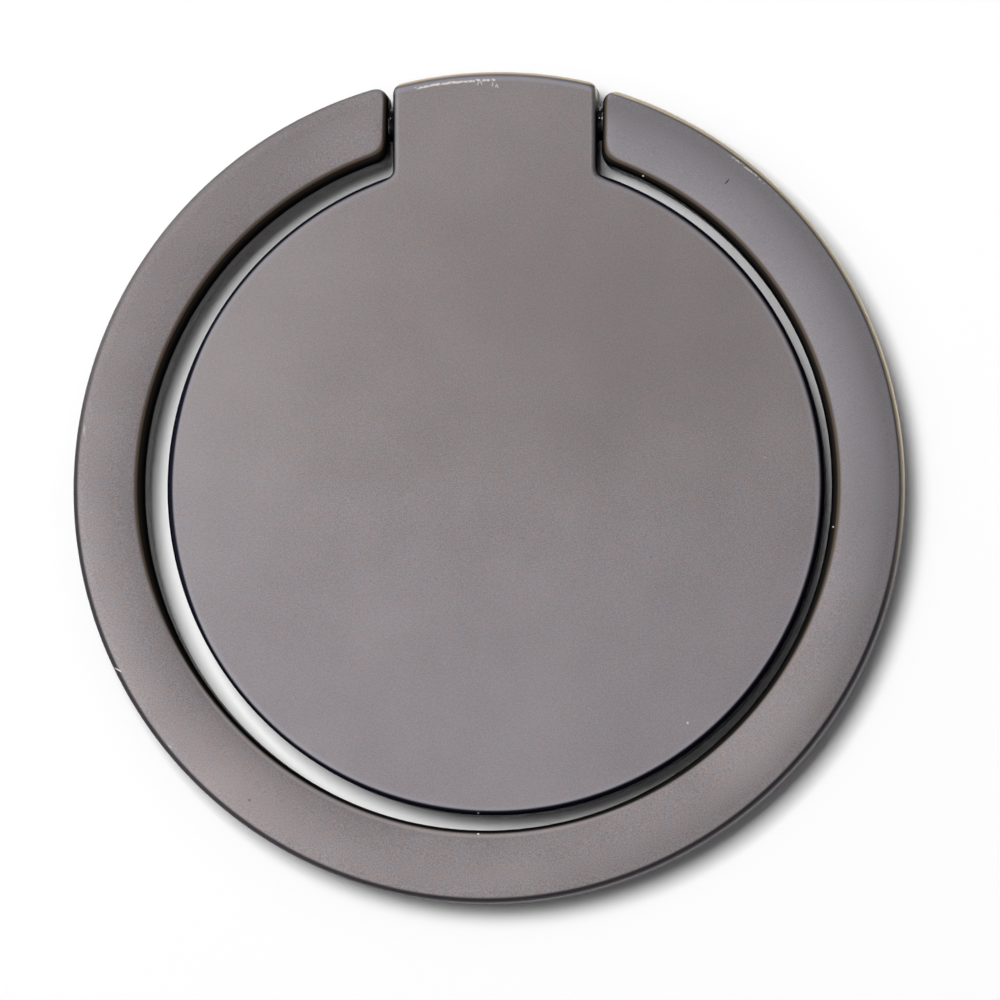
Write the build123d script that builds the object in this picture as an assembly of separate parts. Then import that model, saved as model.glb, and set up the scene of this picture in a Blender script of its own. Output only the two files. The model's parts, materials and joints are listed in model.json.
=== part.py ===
from build123d import *
import os
from math import cos, radians, sqrt, tan

# A slim phone ring holder, lying folded flat with its neck towards +Y.
# The origin is on the swivel axis, on the sticky underside. Sizes are in millimetres.

# Finger ring: an open ring with a gently crowned top, which falls more to the finger's side
ring_diameter = 40.0
ring_band = 3.48
ring_inner_fall = 0.16
ring_outer_fall = 0.04
ring_edge_round = 0.28
tip_corner_round = 0.65
# The ring sits askew on its pin by this angle, in degrees.
ring_skew = 1.2

# Face plate: a disc and its neck, as thick as the ring so that both lie flush
plate_thickness = 2.3
finger_gap = 0.71
neck_width = 9.85
neck_corner_round = 0.5
neck_root_round = 0.35
plate_edge_round = 0.28
plate_foot_round = 0.2

# Hinge between the neck and the ring's tips
pin_diameter = 1.2
pin_reach = 1.2
pin_end_chamfer = 0.15
pin_end_room = 0.2
pin_running_clearance = 0.03
shim_thickness = 0.2
shim_band = 0.22
shim_hole_clearance = 0.02
shim_side_clearance = 0.05

# Swivel stud, cast in one with the face plate and staked at its end
stud_diameter = 3.6
stud_running_clearance = 0.05
stud_root_round = 0.1
stud_head_diameter = 5.0
stud_head_height = 0.22
stud_head_round = 0.12
stud_head_lift = 0.06

# Washers on the stud
retaining_washer_diameter = 7.6
retaining_washer_thickness = 0.2
retaining_washer_clearance = 0.02
spring_diameter = 7.2
spring_hole_clearance = 0.1
spring_thickness = 0.15
spring_bow = 0.15
spring_clearance = 0.02
slip_ring_thickness = 0.15
slip_ring_margin = 0.8
slip_clearance = 0.02

# Base plate with a raised boss, and the adhesive under it
base_sheet = 0.5
base_inset = 0.9
base_edge_round = 0.15
boss_draft = 20.0
boss_bend_round = 0.15
boss_clearance = 0.12
well_clearance = 0.6
recess_clearance = 0.6
recess_corner_round = 0.2
adhesive_thickness = 0.5
adhesive_inset = 0.5

# Plan of the ring, the plate and the base
ring_radius = ring_diameter / 2
ring_inner_radius = ring_radius - ring_band
ring_middle_radius = ring_radius - ring_band / 2
disc_radius = ring_inner_radius - finger_gap
neck_side = neck_width / 2
tip_side = neck_side + shim_thickness + shim_side_clearance
base_radius = disc_radius - base_inset
adhesive_radius = base_radius - adhesive_inset

# Heights, stacked up from the sticky underside
flange_top = adhesive_thickness + base_sheet
head_bottom = adhesive_thickness + stud_head_lift
head_top = head_bottom + stud_head_height
washer_top = head_top + retaining_washer_thickness
well_ceiling = washer_top + spring_bow + spring_thickness + spring_clearance
boss_top = well_ceiling + base_sheet
slip_ring_top = flange_top + slip_ring_thickness
plate_bottom = slip_ring_top + slip_clearance
recess_ceiling = boss_top + boss_clearance

# The hinge axis runs along X through the middle of the ring's tips.
hinge_y = sqrt(ring_middle_radius**2 - tip_side**2)
hinge_z = plate_bottom + plate_thickness / 2
pin_radius = pin_diameter / 2
pin_end = tip_side + pin_reach

# The boss is pressed up from the sheet with sloping walls, and leaves a well under it.
stud_radius = stud_diameter / 2
stud_hole_radius = stud_radius + stud_running_clearance
boss_slope = tan(radians(boss_draft))
wall_shift = base_sheet / cos(radians(boss_draft)) - base_sheet * boss_slope
well_radius = retaining_washer_diameter / 2 + well_clearance
well_mouth_radius = well_radius + (well_ceiling - adhesive_thickness) * boss_slope
boss_radius = well_radius + wall_shift
boss_foot_radius = well_mouth_radius + wall_shift
recess_radius = boss_foot_radius + recess_clearance


def disc(radius, bottom, top):
    """A solid cylinder on the swivel axis."""
    return Pos(0, 0, bottom) * extrude(Circle(radius), top - bottom)


def washer(outer_radius, inner_radius, bottom, top):
    """A flat ring on the swivel axis."""
    return disc(outer_radius, bottom, top) - disc(inner_radius, bottom, top)


def cross_bar(radius, start, end):
    """A solid cylinder on the hinge axis, from one X to another."""
    section = Plane((start, hinge_y, hinge_z), x_dir=(0, 1, 0), z_dir=(1, 0, 0)) * Circle(radius)
    return extrude(section, end - start)


def rim(solid, place):
    """The edges round the lowest (0) or the highest (-1) face of a solid."""
    return solid.faces().sort_by(Axis.Z)[place].edges()


def turned(corners, rounds):
    """A solid turned about the swivel axis from (radius, height) corners, some of them rounded."""
    section = make_face(Polyline(*corners, close=True))
    for corner, radius in rounds.items():
        section = fillet(section.vertices().sort_by_distance(corner)[0], radius)
    return revolve(Plane.XZ * section, Axis.Z)


def make_adhesive_pad():
    return disc(adhesive_radius, 0, adhesive_thickness)


def make_base_plate():
    """Pressed sheet: a flat flange and the boss that the stud turns in."""
    well_corner = (well_radius, well_ceiling)
    well_mouth = (well_mouth_radius, adhesive_thickness)
    rim_top = (base_radius, flange_top)
    boss_foot = (boss_foot_radius, flange_top)
    boss_corner = (boss_radius, boss_top)
    corners = [
        (stud_hole_radius, well_ceiling),
        well_corner,
        well_mouth,
        (base_radius, adhesive_thickness),
        rim_top,
        boss_foot,
        boss_corner,
        (stud_hole_radius, boss_top),
    ]
    bend_outside = boss_bend_round + base_sheet
    rounds = {
        well_corner: boss_bend_round,
        boss_corner: bend_outside,
        boss_foot: boss_bend_round,
        well_mouth: bend_outside,
        rim_top: base_edge_round,
    }
    return turned(corners, rounds)


def make_slip_ring():
    outer_radius = base_radius - slip_ring_margin
    inner_radius = recess_radius + slip_ring_margin
    return washer(outer_radius, inner_radius, flange_top, slip_ring_top)


def make_spring_washer():
    """A flat washer bowed about one axis: it rests on two points and lifts in the middle."""
    half_span = spring_diameter / 2
    bow_radius = (half_span**2 + spring_bow**2) / (2 * spring_bow)
    bow_section = Circle(bow_radius + spring_thickness) - Circle(bow_radius)
    bow_centre = washer_top + spring_bow - bow_radius
    bowed_sheet = extrude(Plane.XZ * Pos(0, bow_centre) * bow_section, half_span, both=True)
    return bowed_sheet & washer(half_span, stud_radius + spring_hole_clearance, washer_top, well_ceiling)


def make_retaining_washer():
    hole_radius = stud_radius + retaining_washer_clearance
    return washer(retaining_washer_diameter / 2, hole_radius, head_top, washer_top)


def make_face_plate():
    """Disc, neck and stud in one casting, with a recess over the boss and a cross hole for the pin."""
    # The neck ends on the same circle as the outside of the ring.
    neck = Pos(0, ring_radius / 2) * Rectangle(neck_width, ring_radius) & Circle(ring_radius)
    outline = Circle(disc_radius) + neck
    outline = fillet(outline.vertices().sort_by(Axis.Y)[-4:-2], neck_root_round)
    outline = fillet(outline.vertices().sort_by(Axis.Y)[-2:], neck_corner_round)
    plate = Pos(0, 0, plate_bottom) * extrude(outline, plate_thickness)
    plate = fillet(rim(plate, -1), plate_edge_round)
    plate = fillet(rim(plate, 0), plate_foot_round)

    stud_root = (stud_radius, recess_ceiling)
    recess_corner = (recess_radius, recess_ceiling)
    recess = [(stud_radius, plate_bottom), (recess_radius, plate_bottom), recess_corner, stud_root]
    plate -= turned(recess, {stud_root: stud_root_round, recess_corner: recess_corner_round})

    head = disc(stud_head_diameter / 2, head_bottom, head_top)
    plate += disc(stud_radius, head_top, plate_bottom) + fillet(rim(head, 0), stud_head_round)
    return plate - cross_bar(pin_radius, -tip_side, tip_side)


def make_hinge_pin():
    pin = cross_bar(pin_radius, -pin_end, pin_end)
    return chamfer(pin.edges().filter_by(GeomType.CIRCLE), pin_end_chamfer)


def make_hinge_shim():
    """The right-hand shim, against the neck's side."""
    hole_radius = pin_radius + shim_hole_clearance
    outer_end = neck_side + shim_thickness
    return cross_bar(hole_radius + shim_band, neck_side, outer_end) - cross_bar(hole_radius, neck_side, outer_end)


def make_finger_ring():
    """An open ring with a crowned top, rounded tips and a blind hole for the pin in each tip."""
    mouth = Pos(0, ring_radius) * Rectangle(2 * tip_side, 2 * ring_inner_radius)
    outline = Circle(ring_radius) - Circle(ring_inner_radius) - mouth
    outline = fillet(outline.vertices().sort_by(Axis.Y)[-4:], tip_corner_round)
    inner_shoulder = (ring_inner_radius, plate_thickness - ring_inner_fall)
    outer_shoulder = (ring_radius, plate_thickness - ring_outer_fall)
    crown = ThreePointArc(inner_shoulder, (ring_middle_radius, plate_thickness), outer_shoulder)
    walls = Polyline(outer_shoulder, (ring_radius, 0), (ring_inner_radius, 0), inner_shoulder)
    band = revolve(Plane.XZ * make_face(crown + walls), Axis.Z)
    ring = extrude(outline, plate_thickness + ring_inner_fall) & band
    ring = fillet(rim(ring, -1), ring_edge_round)
    ring = fillet(rim(ring, 0), ring_edge_round)

    # The ring leans about the middle of the hinge, and the holes stay true to the pin.
    ring = Pos(0, hinge_y, plate_bottom) * Rot(0, 0, -ring_skew) * Pos(0, -hinge_y) * ring
    hole = cross_bar(pin_radius + pin_running_clearance, neck_side, pin_end + pin_end_room)
    return ring - hole - mirror(hole, Plane.YZ)


right_hinge_shim = make_hinge_shim()
parts = {
    "adhesive_pad": make_adhesive_pad(),
    "base_plate": make_base_plate(),
    "slip_ring": make_slip_ring(),
    "spring_washer": make_spring_washer(),
    "retaining_washer": make_retaining_washer(),
    "face_plate": make_face_plate(),
    "hinge_pin": make_hinge_pin(),
    "left_hinge_shim": mirror(right_hinge_shim, Plane.YZ),
    "right_hinge_shim": right_hinge_shim,
    "finger_ring": make_finger_ring(),
}

os.makedirs("parts", exist_ok=True)
for name, solid in parts.items():
    export_step(solid, f"parts/{name}.step")
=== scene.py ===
import json
from math import asin, cos, pi, radians, sin, sqrt, tan, tau

import bmesh
import bpy
from mathutils import Matrix, Vector


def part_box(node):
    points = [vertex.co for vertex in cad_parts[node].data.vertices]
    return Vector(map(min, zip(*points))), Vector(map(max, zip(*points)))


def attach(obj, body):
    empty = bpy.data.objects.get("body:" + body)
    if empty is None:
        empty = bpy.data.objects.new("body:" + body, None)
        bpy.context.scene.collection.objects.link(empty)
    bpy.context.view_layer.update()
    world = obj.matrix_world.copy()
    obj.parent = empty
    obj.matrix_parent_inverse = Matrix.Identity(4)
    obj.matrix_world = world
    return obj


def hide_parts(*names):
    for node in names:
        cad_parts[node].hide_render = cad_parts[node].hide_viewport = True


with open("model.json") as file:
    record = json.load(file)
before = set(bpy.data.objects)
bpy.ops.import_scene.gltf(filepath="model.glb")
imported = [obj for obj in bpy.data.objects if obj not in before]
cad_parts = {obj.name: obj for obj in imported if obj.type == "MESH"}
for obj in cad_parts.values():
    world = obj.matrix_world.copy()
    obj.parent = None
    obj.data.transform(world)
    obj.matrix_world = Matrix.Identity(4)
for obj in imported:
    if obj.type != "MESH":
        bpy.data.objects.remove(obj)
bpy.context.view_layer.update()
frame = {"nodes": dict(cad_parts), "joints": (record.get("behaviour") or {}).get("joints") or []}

# Adhesive pad: a round of dark acrylic foam tape, sticky on both faces, die-cut from a roll.
# It is pressed on to the underside of the base plate, and the phone sticks to its lower face.
MM = 0.001
# Points nearer than this count as one.
TOUCH = 0.001 * MM
pad_low, pad_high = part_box("adhesive_pad")
pad_radius = pad_high.x
pad_waist = 0.05 * MM
pad_edge_round = 0.06 * MM
pad_edge_segments = 3
pad_steps = 160
foam_dark = (0.045, 0.045, 0.05, 1)
foam_pale = (0.085, 0.085, 0.09, 1)
foam_pore = 0.18 * MM
foam_pore_depth = 0.02 * MM
foam_pore_share = 0.3
foam_cloud = 3 * MM
foam_roughness = 0.62
foam_pore_gloss = 0.12


class Wire:
    """An output in a shader's node tree. Sums on wires add Math nodes to the tree."""

    def __init__(self, tree, socket=None):
        self.tree = tree
        self.socket = socket

    def node(self, kind, settings=None, inputs=None, output=0):
        """Adds any node: its settings are set first, then the values or wires of its sockets."""
        made = self.tree.nodes.new(kind)
        for name, value in (settings or {}).items():
            setattr(made, name, value)
        for name, value in (inputs or {}).items():
            if isinstance(value, Wire):
                self.tree.links.new(value.socket, made.inputs[name])
            else:
                made.inputs[name].default_value = value
        return Wire(self.tree, made.outputs[output])

    def math(self, operation, first, second=0.0, third=0.0):
        return self.node("ShaderNodeMath", {"operation": operation}, {0: first, 1: second, 2: third})

    def __add__(self, other):
        return self.math("ADD", self, other)

    def __sub__(self, other):
        return self.math("SUBTRACT", self, other)

    def __rsub__(self, other):
        return self.math("SUBTRACT", other, self)

    def __mul__(self, other):
        return self.math("MULTIPLY", self, other)

    __radd__ = __add__
    __rmul__ = __mul__

    def __neg__(self):
        return self * -1

    def __abs__(self):
        return self.math("ABSOLUTE", self)

    def at_most(self, other, blend=0.0):
        """The lesser of two, with the corner between them rounded over the blend."""
        return self.math("SMOOTH_MIN", self, other, blend)

    def at_least(self, other, blend=0.0):
        """The greater of two, with the corner between them rounded over the blend."""
        return self.math("SMOOTH_MAX", self, other, blend)

    def step(self, start, end):
        """0 at the start and beyond it, 1 at the end and beyond it, and smooth between them."""
        settings = {"interpolation_type": "SMOOTHSTEP"}
        return self.node("ShaderNodeMapRange", settings, {"Value": self, "From Min": start, "From Max": end})

    def mix(self, colour, other):
        """Goes from one colour to the other as this wire goes from 0 to 1."""
        return self.node("ShaderNodeMix", {"data_type": "RGBA"}, {0: self, 6: colour, 7: other}, output=2)

    def noise(self, size, detail=2.0, roughness=0.5):
        """Cloudy noise on this wire's coordinates, with features of about the given size."""
        sockets = {"Vector": self, "Scale": 1 / size, "Detail": detail, "Roughness": roughness}
        return self.node("ShaderNodeTexNoise", None, sockets)

    def cells(self, size):
        """Distance to the nearest of scattered points that lie about the given size apart."""
        return self.node("ShaderNodeTexVoronoi", None, {"Vector": self, "Scale": 1 / size})

    def axis(self, letter):
        return self.node("ShaderNodeSeparateXYZ", None, {"Vector": self}, output=letter)

    def bump(self, height, strength=1.0):
        """A bumped normal from this wire, which is a height of 0 to 1, over a real height."""
        return self.node("ShaderNodeBump", None, {"Strength": strength, "Distance": height, "Height": self})


def new_finish(name):
    """An empty material, the wire of its Object coordinates, and its shader."""
    material = bpy.data.materials.new(name)
    material.use_nodes = True
    tree = material.node_tree
    shader = tree.nodes["Principled BSDF"]
    place = Wire(tree).node("ShaderNodeTexCoord", output="Object")
    return material, place, shader


def set_shader(shader, **sockets):
    """Sets or links a shader's sockets, named with _ for a space."""
    for name, value in sockets.items():
        socket = shader.inputs[name.replace("_", " ")]
        if isinstance(value, Wire):
            value.tree.links.new(value.socket, socket)
        else:
            socket.default_value = value


def turn(bm, corners, steps):
    """Spins a row of (radius, height) corners once round the Z axis."""
    row = [bm.verts.new((radius, 0, height)) for radius, height in corners]
    edges = [bm.edges.new(pair) for pair in zip(row, row[1:])]
    bmesh.ops.spin(
        bm, geom=row + edges, cent=(0, 0, 0), axis=(0, 0, 1), angle=tau, steps=steps, use_merge=True
    )
    bmesh.ops.remove_doubles(bm, verts=bm.verts[:], dist=TOUCH / 10)


def round_edges(bm, edges, offset, segments):
    bmesh.ops.bevel(
        bm, geom=edges, offset=offset, offset_type="OFFSET", segments=segments, profile=0.5,
        affect="EDGES", material=-1,
    )


def rings(bm, radius, height):
    """The edges of the loop that a (radius, height) corner was spun into."""
    def on_loop(vert):
        return abs(vert.co.xy.length - radius) < TOUCH and abs(vert.co.z - height) < TOUCH
    return [edge for edge in bm.edges if all(on_loop(vert) for vert in edge.verts)]


def finish_piece(bm, name, material, body, node, crease=35):
    """Makes the mesh an object with smooth faces and crisp creases, attaches it to its body and hides the
    part it stands in for.
    """
    bmesh.ops.recalc_face_normals(bm, faces=bm.faces[:])
    mesh = bpy.data.meshes.new(name)
    bm.to_mesh(mesh)
    bm.free()
    mesh.shade_smooth()
    mesh.set_sharp_from_angle(angle=radians(crease))
    piece = bpy.data.objects.new(name, mesh)
    bpy.context.scene.collection.objects.link(piece)
    mesh.materials.append(material)
    # Flat faces stay flat beside their rounded edges.
    weighted = piece.modifiers.new("weighted_normals", "WEIGHTED_NORMAL")
    weighted.mode = "FACE_AREA_WITH_ANGLE"
    weighted.keep_sharp = True
    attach(piece, body)
    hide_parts(node)


pad = bmesh.new()
pad_corners = [
    (0, pad_low.z),
    (pad_radius, pad_low.z),
    (pad_radius - pad_waist, (pad_low.z + pad_high.z) / 2),
    (pad_radius, pad_high.z),
    (0, pad_high.z),
]
turn(pad, pad_corners, pad_steps)
pad_rims = rings(pad, pad_radius, pad_low.z) + rings(pad, pad_radius, pad_high.z)
round_edges(pad, pad_rims, pad_edge_round, pad_edge_segments)

foam, place, shader = new_finish("acrylic_foam_tape")
pores = place.cells(foam_pore)
clouds = place.noise(foam_cloud, detail=3)
set_shader(
    shader,
    Base_Color=(clouds * (1 - foam_pore_share) + pores * foam_pore_share).mix(foam_dark, foam_pale),
    Roughness=foam_roughness - pores * foam_pore_gloss,
    Normal=pores.bump(foam_pore_depth, strength=0.6),
)
finish_piece(pad, "foam_pad", foam, "base", "adhesive_pad")

# Base plate: a disc pressed from thin stainless sheet, with a boss raised in its middle.
# The boss holds the swivel's washers in the well under it, and the stud turns in its hole.
base_low, base_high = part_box("base_plate")
base_radius = base_high.x
base_sheet = 0.5 * MM
stud_radius = 1.8 * MM
stud_clearance = 0.05 * MM
well_radius = 4.4 * MM
boss_draft = 20
boss_slope = tan(radians(boss_draft))
boss_inside_bend = 0.15 * MM
boss_outside_bend = 0.4 * MM
base_edge_round = 0.15 * MM
base_segments = 4
base_steps = 180
base_hole_radius = stud_radius + stud_clearance
base_flange_top = base_low.z + base_sheet
well_ceiling = base_high.z - base_sheet
well_mouth_radius = well_radius + (well_ceiling - base_low.z) * boss_slope
wall_shift = base_sheet * (sqrt(1 + boss_slope**2) - boss_slope)
boss_radius = well_radius + wall_shift
boss_foot_radius = well_mouth_radius + wall_shift

base = bmesh.new()
base_corners = [
    (base_hole_radius, well_ceiling),
    (well_radius, well_ceiling),
    (well_mouth_radius, base_low.z),
    (base_radius, base_low.z),
    (base_radius, base_flange_top),
    (boss_foot_radius, base_flange_top),
    (boss_radius, base_high.z),
    (base_hole_radius, base_high.z),
    (base_hole_radius, well_ceiling),
]
turn(base, base_corners, base_steps)
round_edges(base, rings(base, base_radius, base_flange_top), base_edge_round, base_segments)
inside_bends = rings(base, well_radius, well_ceiling) + rings(base, boss_foot_radius, base_flange_top)
round_edges(base, inside_bends, boss_inside_bend, base_segments)
outside_bends = rings(base, boss_radius, base_high.z) + rings(base, well_mouth_radius, base_low.z)
round_edges(base, outside_bends, boss_outside_bend, base_segments)


def steel_finish(name, dark, bright, streak, roughness):
    """Bare steel with fine rolling marks along X and faint clouding."""
    streak_stretch = 0.06
    streak_share = 0.6
    streak_depth = 0.004 * MM
    streak_dulling = 0.16
    cloud = 2.5 * MM
    steel, place, shader = new_finish(name)
    drawn_out = place.node("ShaderNodeMapping", None, {"Vector": place, "Scale": (streak_stretch, 1, 1)})
    rolled = drawn_out.noise(streak, detail=4, roughness=0.6)
    tone = rolled * streak_share + place.noise(cloud) * (1 - streak_share)
    set_shader(
        shader,
        Base_Color=tone.mix(dark, bright),
        Metallic=1.0,
        Roughness=roughness + (rolled - 0.5) * streak_dulling,
        Normal=rolled.bump(streak_depth, strength=0.5),
    )
    return steel


base_dark = (0.5, 0.5, 0.5, 1)
base_bright = (0.66, 0.66, 0.65, 1)
base_streak = 0.07 * MM
base_roughness = 0.34
pressed_steel = steel_finish("pressed_steel", base_dark, base_bright, base_streak, base_roughness)
finish_piece(base, "pressed_base", pressed_steel, "base", "base_plate")

# Slip ring: a thin flat ring punched from slippery plastic film, laid between base and face plate.
# It keeps metal off metal while the holder turns, and nothing fixes it but the stack around it.
film_dark = (0.66, 0.65, 0.6, 1)
film_pale = (0.8, 0.79, 0.75, 1)
film_cloud = 1.2 * MM
film_tooth = 0.08 * MM
film_tooth_depth = 0.003 * MM
film_roughness = 0.38
film_dulling = 0.15


def dress(node, material):
    """Gives a piece that is kept as it was made its finish."""
    frame["nodes"][node].data.materials.clear()
    frame["nodes"][node].data.materials.append(material)


slip_film, place, shader = new_finish("slip_film")
clouds = place.noise(film_cloud, detail=3)
set_shader(
    shader,
    Base_Color=clouds.mix(film_dark, film_pale),
    Roughness=film_roughness + clouds * film_dulling,
    Normal=place.noise(film_tooth).bump(film_tooth_depth, strength=0.4),
)
dress("slip_ring", slip_film)

# Spring washer and retaining washer: two washers punched from spring steel, the first one bowed.
# Both sit on the stud in the well under the boss, held by the stud's staked head.
washer_dark = (0.3, 0.3, 0.31, 1)
washer_bright = (0.45, 0.45, 0.45, 1)
washer_streak = 0.05 * MM
washer_roughness = 0.36
spring_steel = steel_finish("spring_steel", washer_dark, washer_bright, washer_streak, washer_roughness)
dress("spring_washer", spring_steel)
dress("retaining_washer", spring_steel)

# Face plate: a flat disc and the neck that carries the hinge, one zinc casting with a swivel stud.
# Bead-blasted, then plated in satin gunmetal; the narrow walls of the gap are painted dark as shade.
# Its stud is staked over the retaining washer, and the crest of its neck is chipped to bare zinc.
plate_low, plate_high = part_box("face_plate")
plate_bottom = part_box("finger_ring")[0].z
plate_top = plate_high.z
ring_radius = plate_high.y
disc_radius = plate_high.x
neck_side = 4.925 * MM
neck_corner_round = 0.5 * MM
neck_root_round = 0.35 * MM
neck_round_segments = 8
plate_edge_round = 0.28 * MM
plate_edge_segments = 8
plate_foot_round = 0.2 * MM
plate_foot_segments = 4
corner_room = 0.7 * MM
hinge = Vector(frame["joints"][1]["pos_m"])
pin_radius = 0.6 * MM
recess_radius = 5.641 * MM
recess_ceiling = 1.92 * MM
head_radius = 2.5 * MM
head_height = 0.22 * MM
disc_steps = 260
neck_steps = 40
hole_steps = 48
stud_steps = 120


def arc(bm, start, angle, steps):
    """Spins one point about the Z axis into a row of edges; gives its first and last vertex."""
    first = bm.verts.new(start)
    spun = bmesh.ops.spin(bm, geom=[first], cent=(0, 0, 0), axis=(0, 0, 1), angle=angle, steps=steps)
    return first, spun["geom_last"][0]


def polar(radius, angle, height):
    """A point at an angle from +Y, turned towards +X."""
    return radius * sin(angle), radius * cos(angle), height


def round_corners(bm, verts, radius, turn_angle, segments):
    """Rounds plan corners, given the angle by which the outline turns there."""
    bmesh.ops.bevel(
        bm, geom=verts, offset=radius * tan(turn_angle / 2), offset_type="OFFSET", segments=segments,
        profile=0.5, affect="VERTICES", material=-1,
    )


def nearest(bm, point):
    return min(bm.verts, key=lambda vert: (vert.co - Vector(point)).length)


def at_height(geometry, height):
    """Those edges or faces that lie level at a height."""
    return [item for item in geometry if all(abs(vert.co.z - height) < TOUCH for vert in item.verts)]


def open_hole(bm, flat_faces, centre, radius):
    """Swaps flat faces square to X for the same outline with a round hole; gives the hole's edges."""
    region = set(flat_faces)
    outline = [e for f in region for e in f.edges if len(region & set(e.link_faces)) == 1]
    bmesh.ops.delete(bm, geom=flat_faces, context="FACES_KEEP_BOUNDARY")
    placed = Matrix.Translation(centre) @ Matrix.Rotation(pi / 2, 4, "Y")
    circle = bmesh.ops.create_circle(bm, segments=hole_steps, radius=radius, matrix=placed)["verts"]
    hole = list({edge for vert in circle for edge in vert.link_edges})
    bmesh.ops.triangle_fill(bm, edges=outline + hole, use_beauty=True)
    return hole


plate = bmesh.new()
root_angle = asin(neck_side / disc_radius)
crest_angle = asin(neck_side / ring_radius)
disc_start = root_angle + corner_room / disc_radius
disc_sweep = 2 * disc_start - tau
disc_first, disc_last = arc(plate, polar(disc_radius, disc_start, plate_top), disc_sweep, disc_steps)
crest_start = crest_angle - corner_room / ring_radius
crest_first, crest_last = arc(plate, polar(ring_radius, crest_start, plate_top), 2 * crest_start, neck_steps)
right_root = plate.verts.new(polar(disc_radius, root_angle, plate_top))
right_crest = plate.verts.new(polar(ring_radius, crest_angle, plate_top))
left_root = plate.verts.new(polar(disc_radius, -root_angle, plate_top))
left_crest = plate.verts.new(polar(ring_radius, -crest_angle, plate_top))
for chain in (
    (disc_first, right_root, right_crest, crest_first),
    (disc_last, left_root, left_crest, crest_last),
):
    for pair in zip(chain, chain[1:]):
        plate.edges.new(pair)
bmesh.ops.contextual_create(plate, geom=plate.edges[:])
round_corners(plate, [right_root, left_root], neck_root_round, pi / 2 - root_angle, neck_round_segments)
crests = [nearest(plate, polar(ring_radius, side * crest_angle, plate_top)) for side in (1, -1)]
round_corners(plate, crests, neck_corner_round, pi / 2 - crest_angle, neck_round_segments)
foot = bmesh.ops.extrude_face_region(plate, geom=plate.faces[:])["geom"]
foot_verts = [v for v in foot if isinstance(v, bmesh.types.BMVert)]
bmesh.ops.translate(plate, verts=foot_verts, vec=(0, 0, plate_bottom - plate_top))
round_edges(plate, at_height(plate.edges, plate_top), plate_edge_round, plate_edge_segments)
round_edges(plate, at_height(plate.edges, plate_bottom), plate_foot_round, plate_foot_segments)

# The underside: the recess over the boss, the stud and its staked head.
foot_face = at_height(plate.faces, plate_bottom)[0]
foot_edges = foot_face.edges[:]
bmesh.ops.delete(plate, geom=[foot_face], context="FACES_KEEP_BOUNDARY")
stud_corners = [
    (recess_radius, plate_bottom),
    (recess_radius, recess_ceiling),
    (stud_radius, recess_ceiling),
    (stud_radius, plate_low.z + head_height),
    (head_radius, plate_low.z + head_height),
    (head_radius, plate_low.z),
    (0, plate_low.z),
]
turn(plate, stud_corners, stud_steps)
bmesh.ops.triangle_fill(plate, edges=foot_edges + rings(plate, recess_radius, plate_bottom), use_beauty=True)

# The cross hole that the pin is pressed through.
pin_hole = []
for side in (1, -1):
    wall = [f for f in plate.faces if all(abs(v.co.x - side * neck_side) < TOUCH for v in f.verts)]
    pin_hole += open_hole(plate, wall, (side * neck_side, hinge.y, hinge.z), pin_radius)
bmesh.ops.bridge_loops(plate, edges=pin_hole)

gunmetal_dark = (0.08, 0.071, 0.073, 1)
gunmetal_warm = (0.47, 0.371, 0.355, 1)
gunmetal_cool = (0.377, 0.391, 0.428, 1)
gunmetal_roughness = 0.5
bare_zinc = (0.75, 0.72, 0.66, 1)


def start_gunmetal(name):
    """Satin plating over a bead-blasted casting: fine grain, a faint warm and cool mottle, clouding."""
    grain_size = 0.06 * MM
    grain_depth = 0.004 * MM
    grain_dulling = 0.08
    mottle_size = 0.5 * MM
    cloud_size = 4 * MM
    cloud_share = 0.2
    material, place, shader = new_finish(name)
    grain = place.noise(grain_size, detail=2, roughness=0.6)
    mottle = place.noise(mottle_size)
    tone = grain + cloud_share * (place.noise(cloud_size) - 0.5)
    set_shader(
        shader,
        Metallic=1.0,
        Roughness=gunmetal_roughness + (grain - 0.5) * grain_dulling,
        Normal=grain.bump(grain_depth, strength=0.5),
    )
    colour = tone.mix(gunmetal_dark, mottle.mix(gunmetal_warm, gunmetal_cool))
    return material, place, shader, colour


def plan_radius(place):
    """Distance from the Z axis."""
    flat = place.node("ShaderNodeVectorMath", {"operation": "MULTIPLY"}, {0: place, 1: (1, 1, 0)})
    return flat.node("ShaderNodeVectorMath", {"operation": "LENGTH"}, {0: flat}, output="Value")


def spot(place, x, y, length, width, angle=0.0, firm=0.55, share=1.0):
    """The share in the middle of an oval seen from above, 0 outside it. In millimetres and degrees."""
    sockets = {
        "Vector": place,
        "Location": (x * MM, y * MM, 0),
        "Rotation": (0, 0, radians(angle)),
        "Scale": (length / 2 * MM, width / 2 * MM, 1),
    }
    oval = place.node("ShaderNodeMapping", {"vector_type": "TEXTURE"}, sockets)
    return plan_radius(oval).step(start=1, end=firm) * share


def spots(place, *ovals):
    """The clearest of several ovals at each point."""
    first, *others = [spot(place, **oval) for oval in ovals]
    for other in others:
        first = first.at_least(other)
    return first


def toward(place, angle):
    """Distance from the Z axis in one direction, in degrees from +X towards +Y."""
    return place.axis("X") * cos(radians(angle)) + place.axis("Y") * sin(radians(angle))


def tint(colour, paint, where, share=1.0):
    """Lays paint over a colour, by a share of the wire that says where."""
    return (where * share).mix(colour, paint)


# Colours that paint shade, highlights and reflections on the plate; the dark one also colours a speck of
# dirt.
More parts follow.
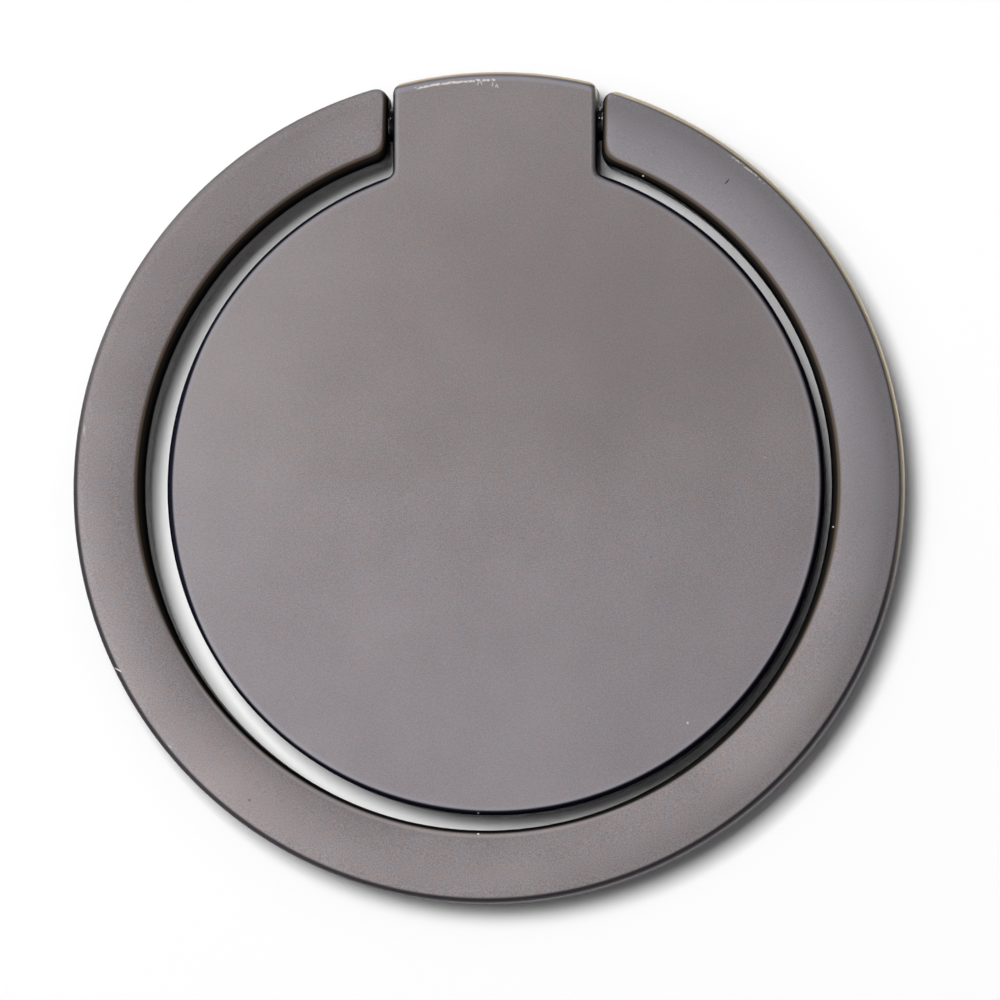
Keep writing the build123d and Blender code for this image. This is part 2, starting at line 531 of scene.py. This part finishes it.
painted_shade_navy = (0.014, 0.014, 0.026, 1)
painted_shade_dark = (0.02, 0.018, 0.02, 1)
painted_highlight_blue = (0.35, 0.36, 0.42, 1)
painted_highlight_pale = (0.38, 0.36, 0.385, 1)
foot_cool = (0.262, 0.244, 0.274, 1)
neck_warm = (0.262, 0.228, 0.215, 1)
painted_shade_and_dirt_dark = (0.123, 0.104, 0.101, 1)
crest_reflection_navy = (0.08, 0.08, 0.105, 1)
crest_reflection_tan = (0.66, 0.52, 0.37, 1)
corner_light_cream = (0.72, 0.66, 0.53, 1)
wash_firm = 0.1
neck_dark_lap = 0.09 * MM
neck_root_blend = 0.9 * MM
navy_more_left = 0.11 * MM
navy_more_below = 0.04 * MM
crest_waver = 0.16 * MM
crest_waver_size = 0.3 * MM
crest_chip_size = 0.16 * MM
crest_chip_gain = 0.2
plate_gunmetal, place, shader, colour = start_gunmetal("plate_gunmetal")
radius = plan_radius(place)
across = place.axis("X")
along = place.axis("Y")
on_edge = place.axis("Z").step(start=plate_top - 0.6 * MM, end=plate_top - 0.25 * MM)
# How far a point lies inside the walls that face the gap and the slits, and inside the neck's end.
from_slit = neck_side + neck_dark_lap - abs(across)
from_wall = (disc_radius - radius).at_least(from_slit.at_most(along), blend=neck_root_blend)
from_crest = ring_radius - radius
# Painted reflection and shade, as slow changes of tone: dark at the upper right, pale at the left and on the
# neck, cool below, warm above.
painted_shade_spot = spot(place, x=6.5, y=8.4, length=35, width=22, firm=wash_firm)
colour = tint(colour, painted_shade_and_dirt_dark, where=painted_shade_spot, share=0.27)
colour = tint(colour, painted_highlight_pale, where=toward(place, 162).step(start=7 * MM, end=16 * MM), share=0.24)
colour = tint(colour, painted_highlight_pale, where=spot(place, x=0, y=17, length=14, width=8, firm=wash_firm), share=0.08)
colour = tint(colour, foot_cool, where=along.step(start=4 * MM, end=-14 * MM), share=0.33)
colour = tint(colour, neck_warm, where=along.step(start=-3 * MM, end=9 * MM), share=0.3)
# Painted shade darkens the walls of the gap, with a navy line over their upper edge, and a painted highlight
# lays a bluish rim inside it.
colour = tint(colour, painted_highlight_blue, where=from_wall.step(start=0.5 * MM, end=0.25 * MM), share=0.25)
to_left = across.step(start=-13.5 * MM, end=-15.6 * MM)
to_below = toward(place, -65).step(start=6 * MM, end=14 * MM)
from_navy = from_wall - to_left * navy_more_left - to_below * navy_more_below
painted_wall_shade = on_edge.mix(painted_shade_dark, painted_shade_navy)
colour = tint(colour, painted_wall_shade, where=from_navy.step(start=0.24 * MM, end=0.12 * MM))
# Painted reflection over the crest of the neck: a bluish rim, a navy line, and a tan line at its very edge.
crest_pale_reflection = on_edge * from_crest.step(start=0.52 * MM, end=0.36 * MM)
crest_dark_reflection = on_edge * from_crest.step(start=0.27 * MM, end=0.19 * MM)
crest_tan_reflection = on_edge * from_crest.step(start=0.15 * MM, end=0.08 * MM)
colour = tint(colour, painted_highlight_blue, where=crest_pale_reflection, share=0.4)
colour = tint(colour, crest_reflection_navy, where=crest_dark_reflection, share=0.6)
colour = tint(colour, crest_reflection_tan, where=crest_tan_reflection)
# Painted light: a cream patch on the neck's right-hand corner below its edge, where the wall is lit.
corner_side = (neck_side - across).step(start=0.13 * MM, end=0.07 * MM)
corner_end = along.step(start=17.9 * MM, end=18.4 * MM)
colour = tint(colour, corner_light_cream, where=corner_side * corner_end * on_edge)
# Chips along the crest: close together on the left, few past the middle.
chip_line = from_crest + place.noise(crest_waver_size, detail=3) * crest_waver
chip_outside = chip_line.step(start=0.43 * MM, end=0.48 * MM)
chip_inside = chip_line.step(start=0.58 * MM, end=0.53 * MM)
chip_reach = across.step(start=-3.95 * MM, end=-3.6 * MM) * across.step(start=0.7 * MM, end=-1.6 * MM)
chip_grain = place.noise(crest_chip_size, detail=2) + chip_reach * crest_chip_gain
chips = chip_outside * chip_inside * chip_grain.step(start=0.52, end=0.66) * chip_reach.step(start=0, end=0.2)
colour = tint(colour, bare_zinc, where=chips * on_edge, share=0.8)
# Bright specks, a hairline scratch, and a scribble of short strokes where the chips end.
scribble_strokes = (
    dict(x=-0.8, y=19.42, angle=65),
    dict(x=-0.64, y=19.44, angle=110),
    dict(x=-0.1, y=19.36, angle=80),
    dict(x=0.08, y=19.3, angle=60),
    dict(x=0.13, y=19.28, angle=115),
)
specks = spots(
    place,
    dict(x=9.25, y=-11.42, length=0.12, width=0.12, share=0.8),
    dict(x=12.98, y=1.28, length=0.13, width=0.13, share=0.2),
    dict(x=-0.79, y=-15.7, length=0.12, width=0.1),
    dict(x=14.4, y=-1.45, length=0.4, width=0.05, angle=50, share=0.12),
    *[dict(stroke, length=0.3, width=0.1, firm=0.3, share=0.55) for stroke in scribble_strokes],
)
colour = tint(colour, bare_zinc, where=specks * on_edge)
# A dark speck of dirt.
dark_speck = spot(place, x=7.52, y=-3.46, length=0.14, width=0.12)
colour = tint(colour, painted_shade_and_dirt_dark, where=dark_speck * on_edge, share=0.6)
set_shader(shader, Base_Color=colour)
finish_piece(plate, "cast_plate", plate_gunmetal, "plate", "face_plate")

# Hinge pin: a ground steel dowel with broken ends, pressed through the neck.
# Its two ends stand out into the ring's tips, and the ring turns on them.
pin_low, pin_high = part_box("hinge_pin")
pin_end_chamfer = 0.15 * MM
pin_dark = (0.42, 0.42, 0.43, 1)
pin_bright = (0.6, 0.6, 0.6, 1)
pin_streak = 0.04 * MM
pin_roughness = 0.24
pin = bmesh.new()
pin_corners = [
    (0, pin_low.x),
    (pin_radius - pin_end_chamfer, pin_low.x),
    (pin_radius, pin_low.x + pin_end_chamfer),
    (pin_radius, pin_high.x - pin_end_chamfer),
    (pin_radius - pin_end_chamfer, pin_high.x),
    (0, pin_high.x),
]
turn(pin, pin_corners, hole_steps)
laid_across = Matrix.Translation(Vector((0, hinge.y, hinge.z))) @ Matrix.Rotation(pi / 2, 4, "Y")
bmesh.ops.transform(pin, matrix=laid_across, verts=pin.verts[:])
pin_steel = steel_finish("pin_steel", pin_dark, pin_bright, pin_streak, pin_roughness)
finish_piece(pin, "steel_pin", pin_steel, "plate", "hinge_pin")

# Hinge shims: two small rings punched from blued spring steel, threaded on the pin.
# They fill the slits beside the neck and give the ring its drag, and have rubbed bright in places.
# The blue is blued steel darkened to near black, to paint the shade deep in the slits.
shim_blue_and_shade = (0.007, 0.007, 0.009, 1)
shim_worn = (0.7, 0.7, 0.68, 1)
shim_fleck = 0.16 * MM
shim_roughness = 0.4
shim_fleck_gloss = 0.1
blued_shim, place, shader = new_finish("blued_shim")
flecks = place.noise(shim_fleck, detail=1)
set_shader(
    shader,
    Base_Color=flecks.step(start=0.68, end=0.74).mix(shim_blue_and_shade, shim_worn),
    Metallic=1.0,
    Roughness=shim_roughness - flecks * shim_fleck_gloss,
)
dress("left_hinge_shim", blued_shim)
dress("right_hinge_shim", blued_shim)

# Finger ring: an open ring cast in zinc with a gently crowned top and rounded edges, plated to match.
# It is sprung over the pin's ends, flips up on them, and here it sits slightly askew.
# Its inside wall is painted dark as shade, its outer edge is chipped, and a cream line is painted on it as
# reflection at the upper right.
ring_band = 3.48 * MM
ring_inner_fall = 0.16 * MM
ring_outer_fall = 0.04 * MM
ring_edge_round = 0.28 * MM
ring_edge_segments = 8
tip_corner_round = 0.65 * MM
tip_corner_segments = 10
slit_width = 0.25 * MM
tip_side = neck_side + slit_width
ring_skew = radians(1.2)
hole_depth = 1.4 * MM
hole_clearance = 0.03 * MM
hole_radius = pin_radius + hole_clearance
# Lines along the band, as shares of its width from the inside, clear of the tips' rounded corners.
band_shares = (0, 0.17, 0.32, 0.47, 0.61, 0.74, 1)
tip_room = 0.8 * MM
tip_ways = (0.4, 1)
ring_steps = 300
ring_inner_radius = ring_radius - ring_band

ring = bmesh.new()
tip_start = asin(tip_side / ring_inner_radius) + tip_room / ring_inner_radius
band_row = []
# The crown is a parabola, level with the disc in mid-band and lower by the falls at its edges.
for share in band_shares:
    inner_drop = ring_inner_fall * (2 * share - 1) * (share - 1)
    outer_drop = ring_outer_fall * (2 * share - 1) * share
    crown = plate_top - inner_drop - outer_drop
    band_row.append(ring.verts.new(polar(ring_inner_radius + share * ring_band, tip_start, crown)))
band_edges = [ring.edges.new(pair) for pair in zip(band_row, band_row[1:])]
ring_sweep = 2 * tip_start - tau
spun = bmesh.ops.spin(
    ring, geom=band_row + band_edges, cent=(0, 0, 0), axis=(0, 0, 1), angle=ring_sweep, steps=ring_steps
)
far_edges = [e for e in spun["geom_last"] if isinstance(e, bmesh.types.BMEdge)]
# Each tip is carried on along the ring to a flat end square to the pin.
for side, end_edges in ((1, band_edges), (-1, far_edges)):
    for way in tip_ways:
        carried = bmesh.ops.extrude_edge_only(ring, edges=end_edges)["geom"]
        end_edges = [e for e in carried if isinstance(e, bmesh.types.BMEdge)]
        for vert in {v for e in end_edges for v in e.verts}:
            radius = vert.co.xy.length
            angle = tip_start + (asin(tip_side / radius) - tip_start) * way
            vert.co.xy = polar(radius, side * angle, 0)[:2]
under = bmesh.ops.extrude_face_region(ring, geom=ring.faces[:])["geom"]
for vert in under:
    if isinstance(vert, bmesh.types.BMVert):
        vert.co.z = plate_bottom


def upright_edges(bm, radius):
    """The upright corner edges of the tips at the ring's inner or outer wall."""
    return [
        e for e in bm.edges
        if abs(e.verts[0].co.xy.length - radius) < TOUCH
        and (e.verts[0].co.xy - e.verts[1].co.xy).length < TOUCH
        and abs(abs(e.verts[0].co.x) - tip_side) < TOUCH
    ]


outer_turn = pi / 2 + asin(tip_side / ring_radius)
inner_turn = pi / 2 - asin(tip_side / ring_inner_radius)
outer_offset = tip_corner_round * tan(outer_turn / 2)
inner_offset = tip_corner_round * tan(inner_turn / 2)
round_edges(ring, upright_edges(ring, ring_radius), outer_offset, tip_corner_segments)
round_edges(ring, upright_edges(ring, ring_inner_radius), inner_offset, tip_corner_segments)
bmesh.ops.recalc_face_normals(ring, faces=ring.faces[:])


def brim(bm, facing):
    """The edges where the walls meet the faces that look up (1) or down (-1)."""
    steep = cos(radians(45))
    bm.normal_update()
    return [
        e for e in bm.edges
        if sorted(abs(f.normal.z) > steep for f in e.link_faces) == [False, True]
        and max(f.normal.z * facing for f in e.link_faces) > steep
    ]


round_edges(ring, brim(ring, 1), ring_edge_round, ring_edge_segments)
round_edges(ring, brim(ring, -1), ring_edge_round, ring_edge_segments)
for side in (1, -1):
    end_faces = [f for f in ring.faces if all(abs(v.co.x - side * tip_side) < 2 * TOUCH for v in f.verts)]
    mouth = open_hole(ring, end_faces, (side * tip_side, hinge.y, hinge.z), hole_radius)
    bored = bmesh.ops.extrude_edge_only(ring, edges=mouth)["geom"]
    bore_end = [v for v in bored if isinstance(v, bmesh.types.BMVert)]
    bmesh.ops.translate(ring, verts=bore_end, vec=(side * hole_depth, 0, 0))
    bmesh.ops.contextual_create(ring, geom=[e for e in bored if isinstance(e, bmesh.types.BMEdge)])
bmesh.ops.rotate(ring, cent=hinge, matrix=Matrix.Rotation(-ring_skew, 3, "Z"), verts=ring.verts[:])

# Colours that paint shade, highlights and reflections on the ring, and the dark of a fibre of dirt.
painted_shade_black = (0.014, 0.012, 0.011, 1)
painted_shade_brown = (0.075, 0.051, 0.029, 1)
painted_edge_shade = (0.055, 0.049, 0.058, 1)
right_reflection_cool = (0.221, 0.219, 0.245, 1)
ring_highlight_pale = (0.48, 0.44, 0.44, 1)
painted_reflection_cream = (0.64, 0.55, 0.41, 1)
fibre_dark = (0.02, 0.018, 0.018, 1)
tip_dark_lap = 0.12 * MM
tip_dark_blend = 1.0 * MM
dark_more_upper_left = 0.17 * MM
dark_more_right = 0.09 * MM
brown_less_below = 0.17 * MM
black_less_below = 0.05 * MM
navy_least = 0.1
navy_gain = 0.8
rim_waver = 0.14 * MM
rim_waver_size = 0.3 * MM
rim_chip_size = 0.2 * MM
rim_chip_gain = 0.2
rim_line_share = 0.25
ring_gunmetal, place, shader, colour = start_gunmetal("ring_gunmetal")
# The ring's own coordinates, in which it isn't askew.
upright = hinge - Matrix.Rotation(ring_skew, 3, "Z") @ hinge
sockets = {"Vector": place, "Location": upright, "Rotation": (0, 0, ring_skew)}
own = place.node("ShaderNodeMapping", {"vector_type": "POINT"}, sockets)
radius = plan_radius(own)
across = own.axis("X")
along = own.axis("Y")
on_edge = own.axis("Z").step(start=plate_top - 1.0 * MM, end=plate_top - 0.4 * MM)
# How far a point lies from the walls that face the gap and the slits, and from the outer wall.
from_slit = (abs(across) - tip_side + tip_dark_lap).at_least(-along)
from_gap = radius - ring_inner_radius
from_outside = ring_radius - radius
# Painted reflection and shade, as slow changes of tone: dark at the upper left and the far right, cool at the
# upper right, pale below.
far_right = spot(own, x=17.6, y=0.3, length=3.2, width=9, firm=wash_firm)
lower_right = spot(own, x=14, y=-11.8, length=13, width=5, angle=50, firm=wash_firm)
lower_left = spot(own, x=-11.8, y=-14, length=13, width=5, angle=-40, firm=wash_firm)
colour = tint(colour, painted_shade_and_dirt_dark, where=toward(own, 145).step(start=14 * MM, end=19.5 * MM), share=0.25)
colour = tint(colour, painted_shade_and_dirt_dark, where=far_right, share=0.25)
colour = tint(colour, right_reflection_cool, where=toward(own, 37).step(start=6 * MM, end=18 * MM), share=0.5)
colour = tint(colour, ring_highlight_pale, where=lower_right, share=0.13)
colour = tint(colour, gunmetal_warm, where=lower_left, share=0.12)
# Painted shade: the dark of the inside wall reaches over its edge, least at the bottom, where a painted
# highlight makes the edge pale.
to_lower_left = toward(own, -120).step(start=6 * MM, end=16 * MM)
to_upper_left = toward(own, 145).step(start=2 * MM, end=14 * MM)
to_right = across.step(start=2 * MM, end=12 * MM)
to_below = along.step(start=0, end=-13 * MM)
from_edge = from_gap - to_upper_left * dark_more_upper_left - to_right * dark_more_right
from_brown = (from_edge + to_below * brown_less_below).at_most(from_slit, blend=tip_dark_blend)
from_black = (from_edge + to_below * black_less_below).at_most(from_slit, blend=tip_dark_blend)
inner_highlight = to_lower_left * from_gap.step(start=0.42 * MM, end=0.3 * MM)
colour = tint(colour, ring_highlight_pale, where=inner_highlight, share=0.4)
colour = tint(colour, painted_shade_brown, where=from_brown.step(start=0.44 * MM, end=0.28 * MM), share=0.9)
colour = tint(colour, painted_shade_black, where=from_black.step(start=0.27 * MM, end=0.16 * MM))
# Painted shade darkens the outer edge where it faces the lower right, a painted reflection lays a cream line
# at the upper right, and a faint painted highlight pales it at the left and right.
to_lower_right = toward(own, -60).step(start=-18 * MM, end=-8 * MM)
to_left = toward(own, 165).step(start=2 * MM, end=14 * MM)
to_upper_right = toward(own, 53).step(start=6 * MM, end=17 * MM) * across.step(start=-2 * MM, end=6 * MM)
outer_highlight = from_outside.step(start=0.75 * MM, end=0.3 * MM) * (to_left + to_right)
outer_shade = from_outside.step(start=0.3 * MM, end=0.16 * MM) * (navy_least + to_lower_right * navy_gain)
outer_reflection = from_outside.step(start=0.21 * MM, end=0.13 * MM) * to_upper_right * on_edge
colour = tint(colour, ring_highlight_pale, where=outer_highlight, share=0.1)
colour = tint(colour, painted_edge_shade, where=outer_shade)
colour = tint(colour, painted_reflection_cream, where=outer_reflection)
# Chips along the outer edge to the right of the neck, thinning out to a faint line.
chip_line = from_outside + place.noise(rim_waver_size, detail=3) * rim_waver
chip_outside = chip_line.step(start=0.33 * MM, end=0.36 * MM)
chip_inside = chip_line.step(start=0.44 * MM, end=0.4 * MM)
right_half = across.step(start=0, end=2 * MM)
chip_ends = along.step(start=14.4 * MM, end=15 * MM) * along.step(start=16.4 * MM, end=15.8 * MM)
chip_reach = right_half * chip_ends
line_reach = right_half * along.step(start=5 * MM, end=9 * MM) * rim_line_share
chip_grain = place.noise(rim_chip_size, detail=3) + (chip_reach + line_reach) * rim_chip_gain
chips = chip_outside * chip_inside * chip_grain.step(start=0.62, end=0.76) * chip_reach.at_least(line_reach)
colour = tint(colour, bare_zinc, where=chips * on_edge, share=0.7)
# Bright specks and nicks, then a dark fibre and a crumb of dust.
specks = spots(
    own,
    dict(x=16.63, y=-1.72, length=0.11, width=0.1, share=0.7),
    dict(x=7.19, y=15.04, length=0.12, width=0.1),
    dict(x=-0.08, y=-16.7, length=0.14, width=0.1),
    dict(x=-19.5, y=2.4, length=0.12, width=0.6, share=0.22),
    dict(x=-17.6, y=-9.12, length=0.5, width=0.09, angle=-28),
    dict(x=-14.99, y=-12.78, length=0.3, width=0.08, angle=-35, share=0.3),
)
dust = spots(
    own,
    dict(x=11.25, y=14.8, length=0.42, width=0.07, angle=50),
    dict(x=-11.1, y=-15.28, length=0.2, width=0.14, share=0.5),
)
colour = tint(colour, bare_zinc, where=specks * on_edge)
colour = tint(colour, fibre_dark, where=dust * on_edge)
set_shader(shader, Base_Color=colour)
finish_piece(ring, "cast_ring", ring_gunmetal, "ring", "finger_ring")

# Studio: a plain white table, a large soft panel overhead and smaller soft boxes round the object.
# The table is whiter where the camera or a reflection sees it than in the light that it throws back.
floor_size = 4.0
table_grey = (0.6, 0.6, 0.6, 1)
table_paper = (0.97, 0.97, 0.97, 1)
room_white = (1, 1, 1, 1)
room_glow = 0.04
floor = bmesh.new()
bmesh.ops.create_grid(floor, x_segments=1, y_segments=1, size=floor_size / 2)
floor_mesh = bpy.data.meshes.new("table")
floor.to_mesh(floor_mesh)
floor.free()
table = bpy.data.objects.new("table", floor_mesh)
bpy.context.scene.collection.objects.link(table)
table_white, place, shader = new_finish("table_white")
tree = table_white.node_tree
tree.nodes.remove(shader)
seen = Wire(tree).node("ShaderNodeLightPath", output="Is Camera Ray")
mirrored = Wire(tree).node("ShaderNodeLightPath", output="Is Glossy Ray")
paper = seen.at_least(mirrored).mix(table_grey, table_paper)
diffuse = paper.node("ShaderNodeBsdfDiffuse", None, {"Color": paper})
tree.links.new(diffuse.socket, tree.nodes["Material Output"].inputs["Surface"])
floor_mesh.materials.append(table_white)

world = bpy.data.worlds.new("dim_room")
bpy.context.scene.world = world
world.use_nodes = True
room = world.node_tree.nodes["Background"]
room.inputs["Color"].default_value = room_white
room.inputs["Strength"].default_value = room_glow


def soft_box(name, azimuth, elevation, distance, width, depth, power):
    """A lamp that faces the object. Azimuth runs from +X towards +Y, and the width lies level."""
    data = bpy.data.lights.new(name, "AREA")
    data.shape = "RECTANGLE"
    data.size = width
    data.size_y = depth
    data.energy = power
    lamp = bpy.data.objects.new(name, data)
    bpy.context.scene.collection.objects.link(lamp)
    flat = cos(radians(elevation))
    direction = Vector((flat * cos(radians(azimuth)), flat * sin(radians(azimuth)), sin(radians(elevation))))
    lamp.location = direction * distance
    lamp.rotation_mode = "QUATERNION"
    lamp.rotation_quaternion = direction.to_track_quat("Z", "Y")
    lamp.visible_camera = False
    return lamp


# The key lamp lights the table and casts the shadow, and the metal doesn't mirror it.
key = soft_box("key_lamp", azimuth=133, elevation=78.7, distance=0.7, width=0.22, depth=0.22, power=4.45)
key.visible_glossy = False
soft_box("overhead_panel", azimuth=0, elevation=90, distance=0.6, width=1.0, depth=1.0, power=0.8)
# These are only mirrored.
side_size = dict(distance=0.27, width=0.18, depth=0.115)
long_panel = dict(elevation=33, distance=0.5, width=0.8, depth=0.25)
short_panel = dict(elevation=33, distance=0.5, width=0.6, depth=0.25)
mirrored_lamps = (
    soft_box("side_lamp", azimuth=190, elevation=72.3, power=0.228, **side_size),
    soft_box("left_panel", azimuth=200, power=0.7, **long_panel),
    soft_box("back_panel", azimuth=110, power=1.3, **long_panel),
    soft_box("right_panel", azimuth=0, power=0.1, **short_panel),
    soft_box("front_panel", azimuth=270, power=0.1, **short_panel),
)
for lamp in mirrored_lamps:
    lamp.visible_diffuse = False

# Camera: almost straight above, leaning a little to the right and to the front.
view_width = 47.93 * MM
view_distance = 0.45
film_width = 36
view_lean_right = radians(4.5)
view_lean_down = radians(4.5)
view_target = Vector((0.26 * MM, -0.69 * MM, plate_top))
camera_data = bpy.data.cameras.new("camera")
camera_data.sensor_width = film_width
camera_data.lens = film_width * view_distance / view_width
camera = bpy.data.objects.new("camera", camera_data)
bpy.context.scene.collection.objects.link(camera)
toward_camera = Vector((tan(view_lean_right), -tan(view_lean_down), 1)).normalized()
camera.location = view_target + toward_camera * view_distance
camera.rotation_mode = "QUATERNION"
sideways = Vector((0, 1, 0)).cross(toward_camera).normalized()
upward = toward_camera.cross(sideways)
camera.rotation_quaternion = Matrix((sideways, upward, toward_camera)).transposed().to_quaternion()
bpy.context.scene.camera = camera
bpy.context.scene.view_settings.view_transform = "Standard"
